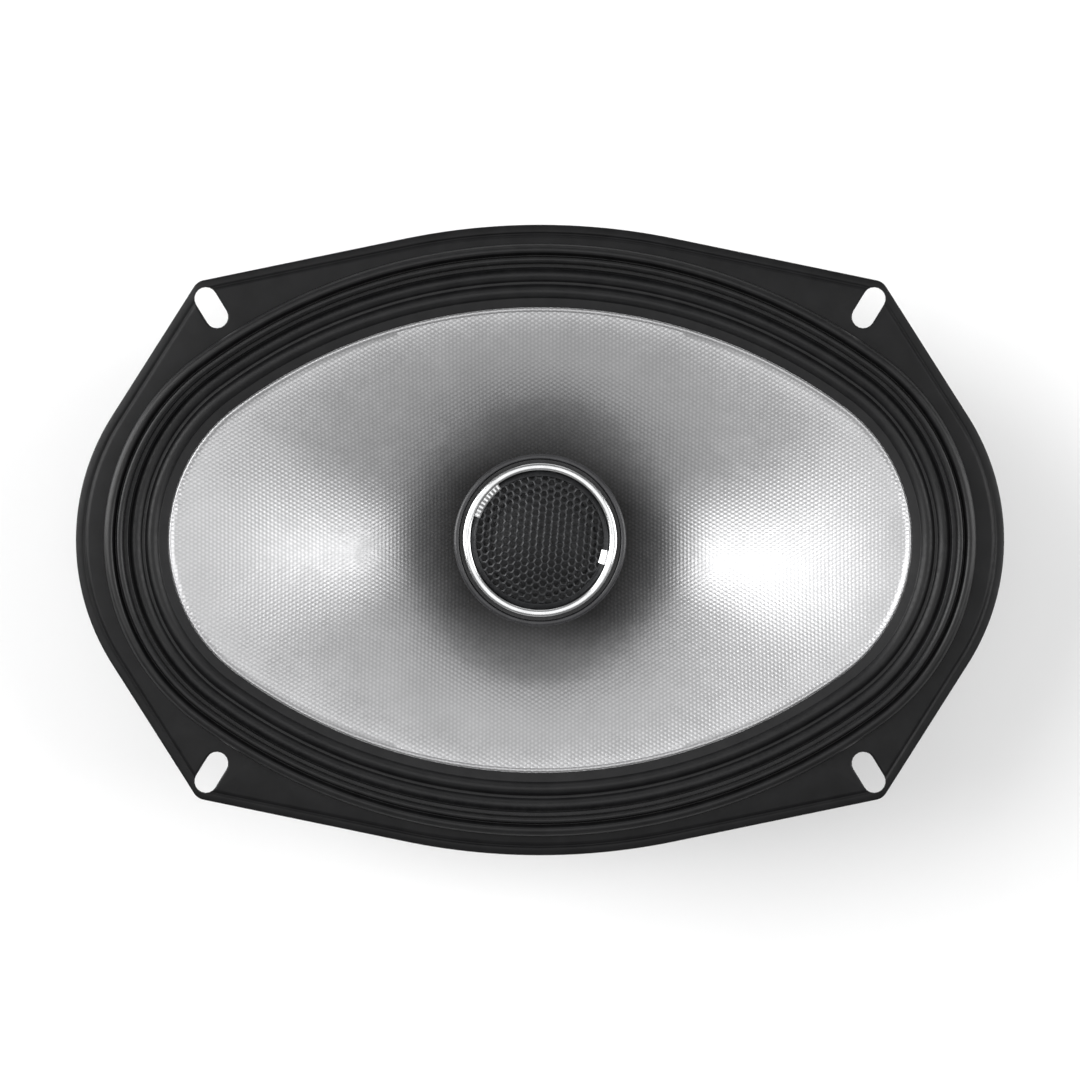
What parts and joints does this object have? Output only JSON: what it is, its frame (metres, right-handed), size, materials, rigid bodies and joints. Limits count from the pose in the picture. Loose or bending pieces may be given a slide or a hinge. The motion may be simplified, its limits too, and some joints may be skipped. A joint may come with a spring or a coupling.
{
  "type": "coaxial car speaker",
  "caption": "Oval two-way coaxial car speaker: slotted flange, rubber surround, silver cone, central tweeter pod, vented basket, ferrite motor and side capacitor.",
  "frame": {"origin": "centre of the flange's rear face, where it seats on a panel", "axes": "+Z along the acoustic axis towards the listener, +X along the long axis of the oval"},
  "size_m": [0.237, 0.161, 0.0783],
  "materials": {
    "basket_paint": "satin black stoved paint on pressed steel",
    "gasket_rubber": "matt black moulded rubber",
    "surround_rubber": "satin black butyl rubber",
    "cone_weave": "silver metallised fine woven skin, satin",
    "former_film": "amber polyimide film",
    "copper": "lacquered copper winding",
    "felt": "black felt",
    "spider_cloth": "dark red-brown resin-treated woven cloth",
    "zinc_steel": "bright zinc-plated, turned",
    "ferrite": "dark grey ground ferrite, satin",
    "pod_plastic": "dark grey moulded plastic, satin",
    "post_plastic": "black moulded plastic",
    "trim_chrome": "bright chrome plating",
    "grille_steel": "dark perforated steel mesh, satin",
    "dome_silk": "coated silk dome, satin",
    "neodymium": "nickel plated",
    "terminal_tin": "tinned brass",
    "terminal_plastic": "black moulded plastic",
    "capacitor_sleeve": "charcoal shrink sleeve, semi gloss",
    "capacitor_resin": "dark red potting resin, gloss",
    "clip_plastic": "black nylon",
    "tinned_wire": "tinned copper wire",
    "lead_sleeve": "dark red wire insulation",
    "tinsel_braid": "flexible copper tinsel braid"
  },
  "bodies": {
    "chassis": {"basket": "basket_paint", "front_gasket": "gasket_rubber", "surround": "surround_rubber", "spider": "spider_cloth", "top_plate": "zinc_steel", "ferrite_magnet": "ferrite", "back_plate": "zinc_steel", "pole_piece": "zinc_steel", "basket_rivets": "zinc_steel", "tweeter_post": "post_plastic", "mounting_screw": "zinc_steel", "mounting_nut": "zinc_steel", "tweeter_housing": "pod_plastic", "tweeter_trim_ring": "trim_chrome", "tweeter_grille": "grille_steel", "tweeter_faceplate": "post_plastic", "tweeter_yoke": "zinc_steel", "tweeter_magnet": "neodymium", "tweeter_pole_disc": "zinc_steel", "tweeter_surround": "dome_silk", "terminal_block": "terminal_plastic", "positive_terminal": "terminal_tin", "negative_terminal": "terminal_tin", "terminal_rivets": "zinc_steel", "capacitor_body": "capacitor_sleeve", "capacitor_seal": "capacitor_resin", "capacitor_clip": "clip_plastic", "capacitor_leads": "tinned_wire", "tweeter_leads": "lead_sleeve", "tinsel_leads": "tinsel_braid"},
    "cone": {"cone": "cone_weave", "voice_coil_former": "former_film", "voice_coil": "copper", "dust_ring": "felt"},
    "tweeter_diaphragm": {"tweeter_dome": "dome_silk", "tweeter_voice_coil": "copper"}
  },
  "joints": [
    {"name": "cone_travel", "type": "slide", "parent": "chassis", "child": "cone", "axis": [0, 0, 1], "range_m": [-0.006, 0.006], "stiffness_N_per_m": 1500, "deforming": ["surround", "spider", "tinsel_leads"]},
    {"name": "tweeter_travel", "type": "slide", "parent": "chassis", "child": "tweeter_diaphragm", "axis": [0, 0, 1], "range_m": [-0.0003, 0.0003], "stiffness_N_per_m": 100, "deforming": ["tweeter_surround"]}
  ]
}
